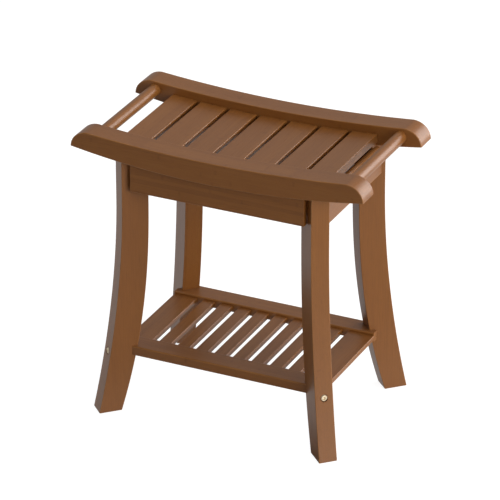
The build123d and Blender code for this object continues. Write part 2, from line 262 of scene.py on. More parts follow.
def dress(node: str, material: bpy.types.Material) -> None:
    """Give a node of the frame its finish."""
    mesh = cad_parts[node].data
    if not mesh.materials:
        mesh.materials.append(material)
    for k in range(len(mesh.materials)):
        mesh.materials[k] = material
    LOG.info("%s: dressed", node)


def arc_height(x: float, half: float, low: float, sag: float) -> float:
    """Height over a shallow arc that dips by sag in the middle of its chord."""
    radius = (half**2 + sag**2) / (2 * sag)
    return low + radius - math.sqrt(radius**2 - x**2)


# Finishes


@dataclass(frozen=True)
class Board:
    """How a board lies: its grain, its face and its middle.

    Attributes:
        along: direction of the grain.
        across: direction over the board's wide face, square to the grain.
        middle: a point on the board's centre line, in millimetres.
        seed: tells one board's pattern from another's.
    """

    along: Point
    across: Point
    middle: Point = (0.0, 0.0, 0.0)
    seed: float = 0.0

    def turn(self) -> Euler:
        """The rotation from the pattern's axes to the board's."""
        u = Vector(self.along).normalized()
        v = Vector(self.across).normalized()
        return Matrix((u, v, u.cross(v))).transposed().to_euler()


@dataclass(frozen=True)
class StainedBamboo:
    """Laminated bamboo, sanded, brown stained and sprayed with satin lacquer.

    It gives straight narrow strips that differ a little in tone, fine dark fibres along them, a
    darker knuckle across a strip now and then, and a soft sheen. Fibres in the real thing are
    about 0.3 mm wide; the streaks here are bundles of them, as coarse as they need to show.

    Attributes:
        name: the finish's name.
        deep: stain in the fibres and the knuckles.
        body: the common tone.
        pale: the palest strips.
        worn: rubbed edges, paler too as a painted highlight on the roundings.
        strip_wide: strip width over the face.
        strip_thick: strip thickness.
        streak_wide: width of a bundle of fibres.
        streak_long: its length.
        fibre_wide: width of a single fibre's groove.
        fibre_long: its length.
        knuckle_gap: distance between two knuckles of a culm.
        knuckle_long: length of a knuckle's mark.
        sheen: roughness of the lacquer.
    """

    name: str = "stained_bamboo"
    deep: str = "#5F3412"
    body: str = "#845223"
    pale: str = "#9F6A32"
    worn: str = "#AD7743"
    strip_wide: float = 7.0
    strip_thick: float = 19.0
    streak_wide: float = 1.6
    streak_long: float = 90.0
    fibre_wide: float = 0.45
    fibre_long: float = 24.0
    knuckle_gap: float = 230.0
    knuckle_long: float = 3.4
    sheen: float = 0.37

    def pattern(self) -> bpy.types.NodeTree:
        """Build the pattern of strips, fibres and knuckles, once for each finish.

        Returns:
            A group that turns a place on a board, in millimetres, into colour, roughness and height.
        """
        found = bpy.data.node_groups.get(self.name)
        if found:
            return found
        tree = bpy.data.node_groups.new(self.name, "ShaderNodeTree")
        face = tree.interface
        face.new_socket("Place", in_out="INPUT", socket_type="NodeSocketVector")
        face.new_socket("Seed", in_out="INPUT", socket_type="NodeSocketFloat")
        face.new_socket("Worn", in_out="INPUT", socket_type="NodeSocketFloat")
        face.new_socket("Colour", in_out="OUTPUT", socket_type="NodeSocketColor")
        face.new_socket("Roughness", in_out="OUTPUT", socket_type="NodeSocketFloat")
        face.new_socket("Height", in_out="OUTPUT", socket_type="NodeSocketFloat")
        given = tree.nodes.new("NodeGroupInput")
        place, seed, wear_and_highlight = given.outputs["Place"], given.outputs["Seed"], given.outputs["Worn"]
        split = add_node(tree, "ShaderNodeSeparateXYZ", {0: place}).node

        # Which strip a place is on, and three random values for that strip
        strips = add_node(
            tree,
            "ShaderNodeVectorMath",
            {0: place, 1: (0.0, 1 / self.strip_wide, 1 / self.strip_thick)},
            operation="MULTIPLY",
        )
        strips = add_node(
            tree, "ShaderNodeVectorMath", {0: strips, 1: (0.0, 0.5, 0.5)}, operation="ADD"
        )
        cell = add_node(tree, "ShaderNodeVectorMath", {0: strips}, operation="FLOOR")
        shift = add_node(tree, "ShaderNodeCombineXYZ", {0: seed})
        cell = add_node(tree, "ShaderNodeVectorMath", {0: cell, 1: shift}, operation="ADD")
        chance = add_node(tree, "ShaderNodeTexWhiteNoise", {0: cell}, output="Color")
        chances = add_node(tree, "ShaderNodeSeparateXYZ", {0: chance}).node
        jump = add_node(
            tree, "ShaderNodeVectorMath", {0: chance, "Scale": 53.0}, operation="SCALE"
        )

        def grain(long: float, wide: float, detail: float, rough: float) -> Socket:
            """A noise drawn out along the grain, which starts anew on each strip."""
            size = (1 / long, 1 / wide, 1 / wide)
            at = add_node(
                tree, "ShaderNodeVectorMath", {0: place, 1: size, 2: jump}, operation="MULTIPLY_ADD"
            )
            return add_node(
                tree,
                "ShaderNodeTexNoise",
                {"Vector": at, "Scale": 1.0, "Detail": detail, "Roughness": rough},
            )

        streak = grain(self.streak_long, self.streak_wide, 4.0, 0.62)
        fibre = grain(self.fibre_long, self.fibre_wide, 1.0, 0.5)
        pores = add_node(
            tree,
            "ShaderNodeMapRange",
            {"Value": fibre, "From Min": 0.55, "From Max": 0.72, "To Min": 0.0, "To Max": 1.0},
            interpolation_type="SMOOTHSTEP",
        )
        cloud_at = add_node(
            tree,
            "ShaderNodeVectorMath",
            {0: place, 1: (1 / 150, 1 / 45, 1 / 45), 2: shift},
            operation="MULTIPLY_ADD",
        )
        cloud = add_node(
            tree, "ShaderNodeTexNoise", {"Vector": cloud_at, "Scale": 1.0, "Detail": 2.0}
        )

        # Distance along the strip to its nearest knuckle
        start = add_node(
            tree,
            "ShaderNodeMath",
            {0: split.outputs["X"], 1: 1 / self.knuckle_gap, 2: chances.outputs["Y"]},
            operation="MULTIPLY_ADD",
        )
        turn = add_node(tree, "ShaderNodeMath", {0: start}, operation="FRACT")
        off = add_node(tree, "ShaderNodeMath", {0: turn, 1: 0.5}, operation="SUBTRACT")
        off = add_node(tree, "ShaderNodeMath", {0: off}, operation="ABSOLUTE")
        knuckle = add_node(
            tree,
            "ShaderNodeMapRange",
            {
                "Value": off,
                "From Min": 0.0,
                "From Max": self.knuckle_long / self.knuckle_gap,
                "To Min": 1.0,
                "To Max": 0.0,
            },
            interpolation_type="SMOOTHSTEP",
        )

        # Glue line between two strips
        inside = add_node(tree, "ShaderNodeVectorMath", {0: strips}, operation="FRACTION")
        inside = add_node(
            tree, "ShaderNodeVectorMath", {0: inside, 1: (0.5, 0.5, 0.5)}, operation="SUBTRACT"
        )
        inside = add_node(tree, "ShaderNodeVectorMath", {0: inside}, operation="ABSOLUTE")
        sides = add_node(tree, "ShaderNodeSeparateXYZ", {0: inside}).node
        seam = add_node(
            tree,
            "ShaderNodeMapRange",
            {
                "Value": sides.outputs["Y"],
                "From Min": 0.5 - 0.35 / self.strip_wide,
                "From Max": 0.5,
                "To Min": 0.0,
                "To Max": 1.0,
            },
        )

        # All parts of the tone, from 0 for the deepest to 1 for the palest
        tone = add_node(
            tree, "ShaderNodeMath", {0: chances.outputs["X"], 1: 0.12, 2: 0.27}, operation="MULTIPLY_ADD"
        )
        for part, weight in ((streak, 0.24), (cloud, 0.12), (pores, -0.12), (knuckle, -0.09), (seam, -0.05)):
            tone = add_node(
                tree, "ShaderNodeMath", {0: part, 1: weight, 2: tone}, operation="MULTIPLY_ADD"
            )
        ramp = add_node(tree, "ShaderNodeValToRGB", {0: tone}).node
        stops = ramp.color_ramp.elements
        stops[0].position, stops[0].color = 0.10, linear(self.deep)
        stops[1].position, stops[1].color = 0.92, linear(self.pale)
        middle = stops.new(0.52)
        middle.color = linear(self.body)
        # Paler rounded edges: rubbed through the stain, and a painted highlight where the roundings catch the
        # light
        rub_and_highlight = add_node(tree, "ShaderNodeMath", {0: wear_and_highlight, 1: cloud}, operation="MULTIPLY")
        rub_and_highlight = add_node(tree, "ShaderNodeMath", {0: rub_and_highlight, 1: 0.55}, operation="MULTIPLY")
        colour = add_node(
            tree,
            "ShaderNodeMix",
            {0: rub_and_highlight, 6: ramp.outputs["Color"], 7: linear(self.worn)},
            output=2,
            data_type="RGBA",
        )
        rough = add_node(
            tree, "ShaderNodeMath", {0: streak, 1: -0.10, 2: self.sheen + 0.05}, operation="MULTIPLY_ADD"
        )
        rough = add_node(tree, "ShaderNodeMath", {0: pores, 1: 0.06, 2: rough}, operation="MULTIPLY_ADD")
        height = add_node(tree, "ShaderNodeMath", {0: pores, 1: -0.5, 2: streak}, operation="MULTIPLY_ADD")
        height = add_node(tree, "ShaderNodeMath", {0: seam, 1: -0.4, 2: height}, operation="MULTIPLY_ADD")
        out = tree.nodes.new("NodeGroupOutput")
        tree.links.new(colour, out.inputs["Colour"])
        tree.links.new(rough, out.inputs["Roughness"])
        tree.links.new(height, out.inputs["Height"])
        return tree

    def material(self, name: str, board: Board) -> bpy.types.Material:
        """Make the finish for a board.

        Args:
            name: the material's name.
            board: how the board lies.

        Returns:
            The material.
        """
        made = bpy.data.materials.new(name)
        made.use_nodes = True
        tree = made.node_tree
        tree.nodes.clear()
        at = add_node(tree, "ShaderNodeTexCoord", output="Object")
        at = add_node(tree, "ShaderNodeVectorMath", {0: at, "Scale": 1 / MM}, operation="SCALE")
        at = add_node(
            tree,
            "ShaderNodeMapping",
            {"Vector": at, "Location": board.middle, "Rotation": board.turn()},
            vector_type="TEXTURE",
        )
        number = add_node(tree, "ShaderNodeAttribute", output="Fac", attribute_name="board")
        number = add_node(
            tree, "ShaderNodeMath", {0: number, 1: 7.0, 2: board.seed}, operation="MULTIPLY_ADD"
        )
        wear_and_highlight = add_node(tree, "ShaderNodeAttribute", output="Fac", attribute_name="edge")
        group = tree.nodes.new("ShaderNodeGroup")
        group.node_tree = self.pattern()
        tree.links.new(at, group.inputs["Place"])
        tree.links.new(number, group.inputs["Seed"])
        tree.links.new(wear_and_highlight, group.inputs["Worn"])
        bump = add_node(
            tree,
            "ShaderNodeBump",
            {"Strength": 0.25, "Distance": 0.12 * MM, "Height": group.outputs["Height"]},
        )
        shader = add_node(
            tree,
            "ShaderNodeBsdfPrincipled",
            {
                "Base Color": group.outputs["Colour"],
                "Roughness": group.outputs["Roughness"],
                "Normal": bump,
                "IOR": 1.5,
            },
        )
        add_node(tree, "ShaderNodeOutputMaterial", {"Surface": shader})
        return made


@dataclass(frozen=True)
class PlatedMetal:
    """A turned or pressed metal part with thin plating.

    It gives a metal colour with fine turning rings and a little cloudiness from handling.

    Attributes:
        name: the finish's name.
        bright: colour of the clean plating.
        dull: colour of the tarnished plating.
        sheen: roughness of the plating.
        ring: distance between turning marks.
        metal: share that shines like bare metal, the rest matt; a near-white matt share is a painted reflection.
    """

    name: str
    bright: str
    dull: str
    sheen: float = 0.3
    ring: float = 0.5
    metal: float = 1.0

    def material(self) -> bpy.types.Material:
        """Make the finish.

        Returns:
            The material.
        """
        made = bpy.data.materials.new(self.name)
        made.use_nodes = True
        tree = made.node_tree
        tree.nodes.clear()
        at = add_node(tree, "ShaderNodeTexCoord", output="Object")
        at = add_node(tree, "ShaderNodeVectorMath", {0: at, "Scale": 1 / MM}, operation="SCALE")
        cloud = add_node(
            tree, "ShaderNodeTexNoise", {"Vector": at, "Scale": 0.35, "Detail": 4.0, "Roughness": 0.6}
        )
        marks = add_node(
            tree, "ShaderNodeTexNoise", {"Vector": at, "Scale": 1 / self.ring, "Detail": 2.0}
        )
        colour = add_node(
            tree,
            "ShaderNodeMix",
            {0: cloud, 6: linear(self.bright), 7: linear(self.dull)},
            output=2,
            data_type="RGBA",
        )
        rough = add_node(
            tree, "ShaderNodeMath", {0: marks, 1: 0.2, 2: self.sheen - 0.1}, operation="MULTIPLY_ADD"
        )
        bump = add_node(tree, "ShaderNodeBump", {"Strength": 0.1, "Distance": 0.05 * MM, "Height": marks})
        shader = add_node(
            tree,
            "ShaderNodeBsdfPrincipled",
            {"Base Color": colour, "Roughness": rough, "Normal": bump, "Metallic": self.metal},
        )
        add_node(tree, "ShaderNodeOutputMaterial", {"Surface": shader})
        return made


BAMBOO = StainedBamboo()
LEG_BAMBOO = StainedBamboo("stained_leg_bamboo", strip_thick=400.0, knuckle_gap=2400.0)
# Near-white, mostly matt pale brass: the lamp's reflection on the bolt heads is painted into its colour
PALE_BRASS_AND_PAINTED_REFLECTION = PlatedMetal("pale_brass_plating", "#FBEBD0", "#EBD8B2", 0.5, metal=0.35)
TURNED_BRASS = PlatedMetal("turned_brass", "#D2B47A", "#A98B55", 0.38)
ZINC = PlatedMetal("zinc_plating", "#C9CACB", "#9EA1A5", 0.36)


# Geometry Nodes


def new_tree(name: str, numbers: Sequence[str]) -> tuple[bpy.types.NodeTree, bpy.types.Node]:
    """Start a tree of Geometry Nodes with named inputs.

    Args:
        name: the tree's name.
        numbers: names of its number inputs.

    Returns:
        The tree and its input node.
    """
    tree = bpy.data.node_groups.new(name, "GeometryNodeTree")
    tree.interface.new_socket("Geometry", in_out="INPUT", socket_type="NodeSocketGeometry")
    for label in numbers:
        tree.interface.new_socket(label, in_out="INPUT", socket_type="NodeSocketFloat")
    tree.interface.new_socket("Material", in_out="INPUT", socket_type="NodeSocketMaterial")
    tree.interface.new_socket("Piece", in_out="INPUT", socket_type="NodeSocketObject")
    tree.interface.new_socket("Geometry", in_out="OUTPUT", socket_type="NodeSocketGeometry")
    return tree, tree.nodes.new("NodeGroupInput")


def finish_tree(tree: bpy.types.NodeTree, given: bpy.types.Node, shape: Socket) -> None:
    """End a tree: copies made real, material set, shape handed out."""
    real = add_node(tree, "GeometryNodeRealizeInstances", {0: shape})
    real = add_node(
        tree, "GeometryNodeSetMaterial", {"Geometry": real, "Material": given.outputs["Material"]}
    )
    out = tree.nodes.new("NodeGroupOutput")
    tree.links.new(real, out.inputs[0])


def grow(piece: bpy.types.Object, tree: bpy.types.NodeTree, values: dict[str, object]) -> None:
    """Run a tree on a piece and keep its result as a plain mesh.

    Args:
        piece: the piece that carries the tree.
        tree: the tree.
        values: values of the tree's inputs by name.
    """
    step = piece.modifiers.new("nodes", "NODES")
    step.node_group = tree
    for item in tree.interface.items_tree:
        if item.in_out == "INPUT" and item.name in values:
            step[item.identifier] = values[item.name]
    settle(piece)


def bar_nodes(tree: bpy.types.NodeTree, width: Socket, given: bpy.types.Node) -> Socket:
    """Nodes for one slat along Y, its top face at height 0, with its upper edges rounded.

    Args:
        tree: the tree.
        width: the slat's width.
        given: the tree's input node, with Length, Thick and Ease.

    Returns:
        The slat's mesh.
    """
    long, thick, round_by = (given.outputs[k] for k in ("Length", "Thick", "Ease"))
    outline = add_node(
        tree, "GeometryNodeCurvePrimitiveQuadrilateral", {"Width": width, "Height": thick}
    )
    spot = add_node(tree, "GeometryNodeInputPosition")
    spot = add_node(tree, "ShaderNodeSeparateXYZ", {0: spot}).node
    upper = add_node(tree, "ShaderNodeMath", {0: spot.outputs["Y"], 1: 0.0}, operation="GREATER_THAN")
    radius = add_node(
        tree, "ShaderNodeMath", {0: upper, 1: round_by, 2: 0.5 * MM}, operation="MULTIPLY_ADD"
    )
    outline = add_node(
        tree,
        "GeometryNodeFilletCurve",
        {"Curve": outline, "Radius": radius, "Count": 6},
        mode="POLY",
    )
    face = add_node(tree, "GeometryNodeFillCurve", {"Curve": outline}, mode="NGONS")
    way = add_node(tree, "ShaderNodeCombineXYZ", {2: 1.0})
    body = add_node(
        tree,
        "GeometryNodeExtrudeMesh",
        {"Mesh": face, "Offset": way, "Offset Scale": long, "Individual": False},
    )
    back = add_node(tree, "GeometryNodeFlipFaces", {"Mesh": face})
    join = tree.nodes.new("GeometryNodeJoinGeometry")
    tree.links.new(body, join.inputs[0])
    tree.links.new(back, join.inputs[0])
    solid = add_node(
        tree, "GeometryNodeMergeByDistance", {"Geometry": join.outputs[0], "Distance": 0.01 * MM}
    )
    half = add_node(tree, "ShaderNodeMath", {0: long, 1: 0.5}, operation="MULTIPLY")
    down = add_node(tree, "ShaderNodeMath", {0: thick, 1: -0.5}, operation="MULTIPLY")
    centre = add_node(tree, "ShaderNodeCombineXYZ", {1: half, 2: down})
    return add_node(
        tree,
        "GeometryNodeTransform",
        {"Geometry": solid, "Translation": centre, "Rotation": (math.pi / 2, 0.0, 0.0)},
    )


def row_nodes(
    tree: bpy.types.NodeTree, given: bpy.types.Node, place: Callable[[Socket], tuple[Socket, Socket]]
) -> Socket:
    """Nodes for a row of slats whose first and last are of their own widths.

    Args:
        tree: the tree.
        given: its input node, with Count, Width, First and Last.
        place: for a slat's number from the middle of the row, its place and its turn.

    Returns:
        The row as instances, each with its number in the attribute board.
    """
    count = given.outputs["Count"]
    last = add_node(tree, "ShaderNodeMath", {0: count, 1: 1.0}, operation="SUBTRACT")
    points = add_node(tree, "GeometryNodeMeshLine", {"Count": count})
    index = add_node(tree, "GeometryNodeInputIndex")
    points = add_node(
        tree,
        "GeometryNodeStoreNamedAttribute",
        {"Geometry": points, "Name": "board", "Value": index},
        data_type="FLOAT",
        domain="POINT",
    )
    middle = add_node(tree, "ShaderNodeMath", {0: last, 1: 0.5}, operation="MULTIPLY")
    number = add_node(tree, "ShaderNodeMath", {0: index, 1: middle}, operation="SUBTRACT")
    spot, turn = place(number)
    points = add_node(tree, "GeometryNodeSetPosition", {"Geometry": points, "Position": spot})
    is_first = add_node(tree, "ShaderNodeMath", {0: index, 1: 0.5}, operation="LESS_THAN")
    near_last = add_node(tree, "ShaderNodeMath", {0: last, 1: 0.5}, operation="SUBTRACT")
    is_last = add_node(tree, "ShaderNodeMath", {0: index, 1: near_last}, operation="GREATER_THAN")
    ends = add_node(tree, "ShaderNodeMath", {0: is_first, 1: is_last}, operation="ADD")
    is_inner = add_node(tree, "ShaderNodeMath", {0: 1.0, 1: ends}, operation="SUBTRACT")
    join = tree.nodes.new("GeometryNodeJoinGeometry")
    for width, chosen, way in (("Width", is_inner, 0.0), ("First", is_first, 1.0), ("Last", is_last, -1.0)):
        slat = bar_nodes(tree, given.outputs[width], given)
        spare = add_node(
            tree, "ShaderNodeMath", {0: given.outputs["Width"], 1: given.outputs[width]}, operation="SUBTRACT"
        )
        aside = add_node(tree, "ShaderNodeMath", {0: spare, 1: way / 2}, operation="MULTIPLY")
        aside = add_node(tree, "ShaderNodeCombineXYZ", {0: aside})
        slat = add_node(tree, "GeometryNodeTransform", {"Geometry": slat, "Translation": aside})
        copies = add_node(
            tree,
            "GeometryNodeInstanceOnPoints",
            {"Points": points, "Selection": chosen, "Instance": slat, "Rotation": turn},
        )
        tree.links.new(copies, join.inputs[0])
    return join.outputs[0]


def arched_row() -> bpy.types.NodeTree:
    """Tree for slats round an arc that dips in the middle: the arc's centre is above the seat."""
    names = (
        "Count", "Pitch", "Shift", "Radius", "Centre", "Width", "First", "Last", "Length", "Thick", "Ease"
    )
    tree, given = new_tree("arched_slats", names)

    def place(number: Socket) -> tuple[Socket, Socket]:
        """Place and turn of a slat on the arc."""
        reach = add_node(
            tree,
            "ShaderNodeMath",
            {0: number, 1: given.outputs["Pitch"], 2: given.outputs["Shift"]},
            operation="MULTIPLY_ADD",
        )
        angle = add_node(tree, "ShaderNodeMath", {0: reach, 1: given.outputs["Radius"]}, operation="DIVIDE")
        sine = add_node(tree, "ShaderNodeMath", {0: angle}, operation="SINE")
        cosine = add_node(tree, "ShaderNodeMath", {0: angle}, operation="COSINE")
        x = add_node(tree, "ShaderNodeMath", {0: sine, 1: given.outputs["Radius"]}, operation="MULTIPLY")
        fall = add_node(tree, "ShaderNodeMath", {0: cosine, 1: given.outputs["Radius"]}, operation="MULTIPLY")
        z = add_node(tree, "ShaderNodeMath", {0: given.outputs["Centre"], 1: fall}, operation="SUBTRACT")
        back = add_node(tree, "ShaderNodeMath", {0: angle, 1: -1.0}, operation="MULTIPLY")
        spot = add_node(tree, "ShaderNodeCombineXYZ", {0: x, 2: z})
        return spot, add_node(tree, "ShaderNodeCombineXYZ", {1: back})

    finish_tree(tree, given, row_nodes(tree, given, place))
    return tree


def level_row() -> bpy.types.NodeTree:
    """Tree for slats in a level row."""
    names = ("Count", "Pitch", "Shift", "Top", "Width", "First", "Last", "Length", "Thick", "Ease")
    tree, given = new_tree("level_slats", names)

    def place(number: Socket) -> tuple[Socket, Socket]:
        """Place and turn of a slat in the row."""
        x = add_node(
            tree,
            "ShaderNodeMath",
            {0: number, 1: given.outputs["Pitch"], 2: given.outputs["Shift"]},
            operation="MULTIPLY_ADD",
        )
        spot = add_node(tree, "ShaderNodeCombineXYZ", {0: x, 2: given.outputs["Top"]})
        return spot, add_node(tree, "ShaderNodeCombineXYZ", {0: 0.0})

    finish_tree(tree, given, row_nodes(tree, given, place))
    return tree


def fastener_tree() -> bpy.types.NodeTree:
    """Tree that sets a copy of a fastener on each point, along the point's attribute way."""
    tree, given = new_tree("fasteners", ())
    info = add_node(
        tree,
        "GeometryNodeObjectInfo",
        {"Object": given.outputs["Piece"]},
        output="Geometry",
        transform_space="ORIGINAL",
    )
    way = add_node(tree, "GeometryNodeInputNamedAttribute", {"Name": "way"}, data_type="FLOAT_VECTOR")
    turn = add_node(tree, "FunctionNodeAlignRotationToVector", {"Vector": way}, axis="Z")
    copies = add_node(
        tree,
        "GeometryNodeInstanceOnPoints",
        {"Points": given.outputs["Geometry"], "Instance": info, "Rotation": turn},
    )
    finish_tree(tree, given, copies)
    return tree


# The bench


@dataclass
class Legs:
    """Four sabre legs on the diagonals of the bench.

    Attributes:
        x: leg line from mid bench along X.
        y: leg line from mid bench along Y.
        wide: width of a leg along its diagonal.
        thick: thickness square to it.
        kick_height: height where the sweep outwards ends.
        kick_outer: sweep of the outer face at the floor.
        kick_inner: sweep of the inner face at the floor.
        power_outer: how late the outer sweep gathers.
        power_inner: how late the inner sweep gathers.
        ease: rounding of the long edges.
        levels: heights at which the sweep is followed.
        recess_radius: radius of the bolt's recess.
        recess_depth: depth of the recess under the outer face.
        bolt_z: height of the shelf bolt.
        notch_depth: depth of the shelf's notch in the inner face.
        fit: clearance round the shelf in its notch.
    """

    x: float = 157.5
    y: float = 103.0
    wide: float = 44.2
    thick: float = 30.2
    kick_height: float = 361.0
    kick_outer: float = 43.2
    kick_inner: float = 49.3
    power_outer: float = 1.87
    power_inner: float = 2.27
    ease: float = 1.2
    levels: int = 26
    recess_radius: float = 6.2
    recess_depth: float = 2.9
    bolt_z: float = 103.4
    notch_depth: float = 8.0
    fit: float = 0.1

    def outer(self, z: float) -> float:
        """Distance of the outer face from the leg line, along the diagonal."""
        reach = max(0.0, 1 - z / self.kick_height)
        return self.wide / 2 + self.kick_outer * reach**self.power_outer

    def inner(self, z: float) -> float:
        """Distance of the inner face from the leg line, along the diagonal."""
        reach = max(0.0, 1 - z / self.kick_height)
        return -self.wide / 2 + self.kick_inner * reach**self.power_inner

    def spot(self, corner: Corner, u: float, t: float, z: float) -> Point:
        """A point of a leg from its place along the diagonal, across it and up.

        Args:
            corner: which leg.
            u: distance from the leg line, outwards.
            t: distance across the leg.
            z: height.

        Returns:
            The point in the frame's axes.
        """
        sx, sy = corner.value
        return sx * (self.x + (u + t) * DIAGONAL), sy * (self.y + (u - t) * DIAGONAL), z

    def block(self, corner: Corner, u0: float, u1: float, t: float, z0: float, z1: float) -> bpy.types.Object:
        """A square cutter given in the leg's own directions."""
        rings = []
        for z in (z0, z1):
            spots = ((u0, -t), (u1, -t), (u1, t), (u0, t))
            rings.append([self.spot(corner, u, across, z) for u, across in spots])
        return loft("cutter", rings)

    def drill(self, corner: Corner, radius: float, u0: float, u1: float, z: float) -> bpy.types.Object:
        """A round cutter along the diagonal."""
        sides = 48
        rings = []
        for u in (u0, u1):
            turns = [2 * math.pi * k / sides for k in range(sides)]
            rings.append(
                [self.spot(corner, u, radius * math.cos(a), z + radius * math.sin(a)) for a in turns]
            )
        return loft("cutter", rings)

    def build(self, rail_under: Callable[[float], float], shelf_low: float, shelf_high: float) -> None:
        """Build and dress the four legs.

        Args:
            rail_under: height of the rail's lower edge at a place along X.
            shelf_low: underside of the shelf rails.
            shelf_high: their top.
        """
        for number, corner in enumerate(Corner):
            heights = [self.kick_height * k / self.levels for k in range(self.levels + 1)]
            rings = []
            for z in heights:
                spots = (
                    (self.inner(z), -self.thick / 2),
                    (self.outer(z), -self.thick / 2),
                    (self.outer(z), self.thick / 2),
                    (self.inner(z), self.thick / 2),
                )
                rings.append([self.spot(corner, u, t, z) for u, t in spots])
            top = [self.spot(corner, u, t, 0.0) for u, t in self.top_corners()]
            rings.append([(x, y, rail_under(x)) for x, y, _ in top])
            name = f"leg_{corner.label}"
            leg = loft(f"{name}_wood", rings)
            ease(leg, self.ease, lambda at, way: 1.0 if abs(way.z) > 0.5 else (0.95 if at.z < 1 else 0.0))
            seat = self.outer(self.bolt_z) - self.recess_depth
            cut(leg, self.drill(corner, self.recess_radius, seat, seat + self.wide, self.bolt_z))
            notch = self.inner((shelf_low + shelf_high) / 2) + self.notch_depth + self.fit
            cutter = self.block(
                corner, notch - self.wide, notch, self.thick, shelf_low - self.fit, shelf_high + self.fit
            )
            cut(leg, cutter)
            smooth(leg)
            sx, sy = corner.value
            board = Board((0, 0, 1), (sx, -sy, 0), (sx * self.x, sy * self.y, 0), 11.0 * number + 3)
            seat_piece(leg, LEG_BAMBOO.material(f"bamboo_{name}", board), [name])

    def top_corners(self) -> list[tuple[float, float]]:
        """Corners of the leg's upper end, along and across the diagonal."""
        u, t = self.wide / 2, self.thick / 2
        return [(-u, -t), (u, -t), (u, t), (-u, t)]


